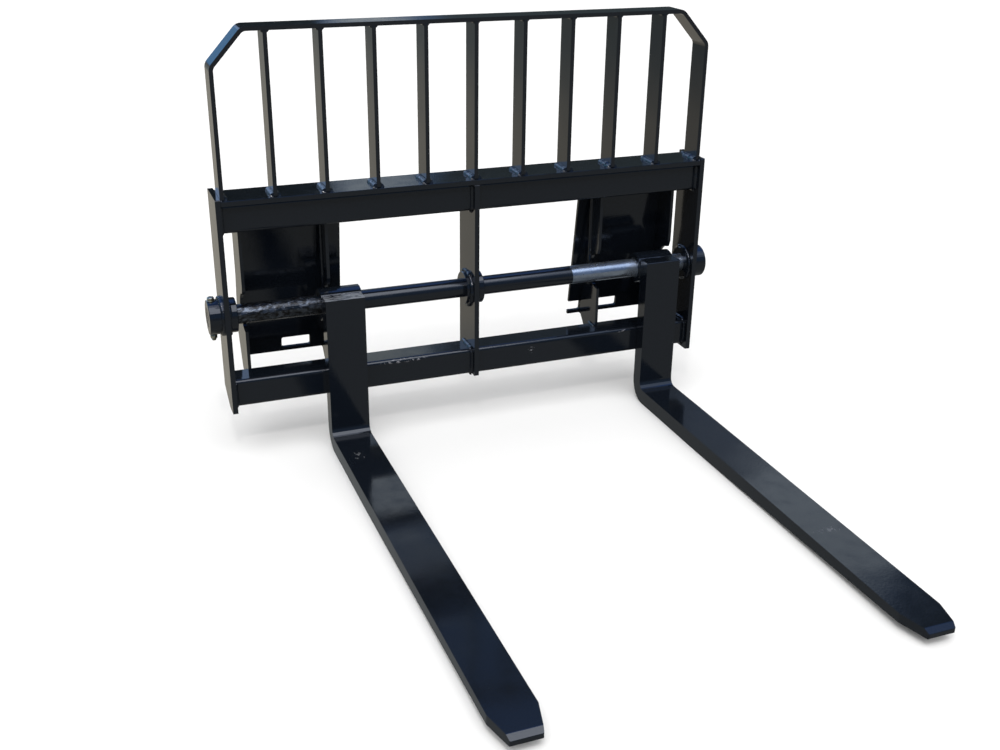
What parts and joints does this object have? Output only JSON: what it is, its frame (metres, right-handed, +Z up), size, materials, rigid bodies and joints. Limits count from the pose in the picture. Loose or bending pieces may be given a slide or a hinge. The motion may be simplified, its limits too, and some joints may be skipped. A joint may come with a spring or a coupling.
{
  "type": "pallet fork attachment",
  "caption": "Welded loader carriage with a barred load guard and floating L-shaped forks that slide and tip up on one round shaft.",
  "frame": {"origin": "on the ground under the middle of the attachment's outer box", "axes": "+X to the right seen from in front of the forks, +Y back towards the loader so the forks point along -Y, +Z up"},
  "size_m": [1.3806, 1.435, 1.077],
  "materials": {
    "black_paint": "gloss black sprayed paint with light orange peel",
    "scraped_shaft": "black paint scraped to bare blue-grey steel where the forks slide",
    "zinc_bolt": "yellow-tinted zinc plating"
  },
  "bodies": {
    "carriage": {"left_side_plate": "black_paint", "right_side_plate": "black_paint", "centre_plate": "black_paint", "upper_beam_left": "black_paint", "upper_beam_right": "black_paint", "lower_beam_left": "black_paint", "lower_beam_right": "black_paint", "top_plate": "black_paint", "guard_frame": "black_paint", "guard_bar_1": "black_paint", "guard_bar_2": "black_paint", "guard_bar_3": "black_paint", "guard_bar_4": "black_paint", "guard_bar_5": "black_paint", "guard_bar_6": "black_paint", "guard_bar_7": "black_paint", "guard_bar_8": "black_paint", "guard_bar_9": "black_paint", "shaft": "scraped_shaft", "left_outer_boss": "black_paint", "left_inner_collar": "black_paint", "centre_left_collar": "black_paint", "centre_right_collar": "black_paint", "right_inner_collar": "black_paint", "right_outer_boss": "black_paint", "retaining_bolt": "zinc_bolt", "retaining_nut": "zinc_bolt", "quick_attach_plate_left": "black_paint", "quick_attach_plate_right": "black_paint", "inner_gusset_left": "black_paint", "inner_gusset_right": "black_paint", "end_gusset_left": "black_paint", "end_gusset_right": "black_paint"},
    "left_slider": {"left_fork_bushing": "scraped_shaft"},
    "left_fork": {"left_fork_sleeve": "black_paint", "left_fork_tine": "black_paint"},
    "right_slider": {"right_fork_bushing": "scraped_shaft"},
    "right_fork": {"right_fork_sleeve": "black_paint", "right_fork_tine": "black_paint"}
  },
  "joints": [
    {"name": "left_fork_slide", "type": "slide", "parent": "carriage", "child": "left_slider", "axis": [1, 0, 0], "range_m": [-0.208, 0.272]},
    {"name": "left_fork_pivot", "type": "hinge", "parent": "left_slider", "child": "left_fork", "pos_m": [-0.3604, 0.5914, 0.3775], "axis": [-1, 0, 0], "range_deg": [0, 30]},
    {"name": "right_fork_slide", "type": "slide", "parent": "carriage", "child": "right_slider", "axis": [1, 0, 0], "range_m": [-0.452, 0.036]},
    {"name": "right_fork_pivot", "type": "hinge", "parent": "right_slider", "child": "right_fork", "pos_m": [0.5344, 0.5914, 0.3775], "axis": [-1, 0, 0], "range_deg": [0, 30]}
  ]
}
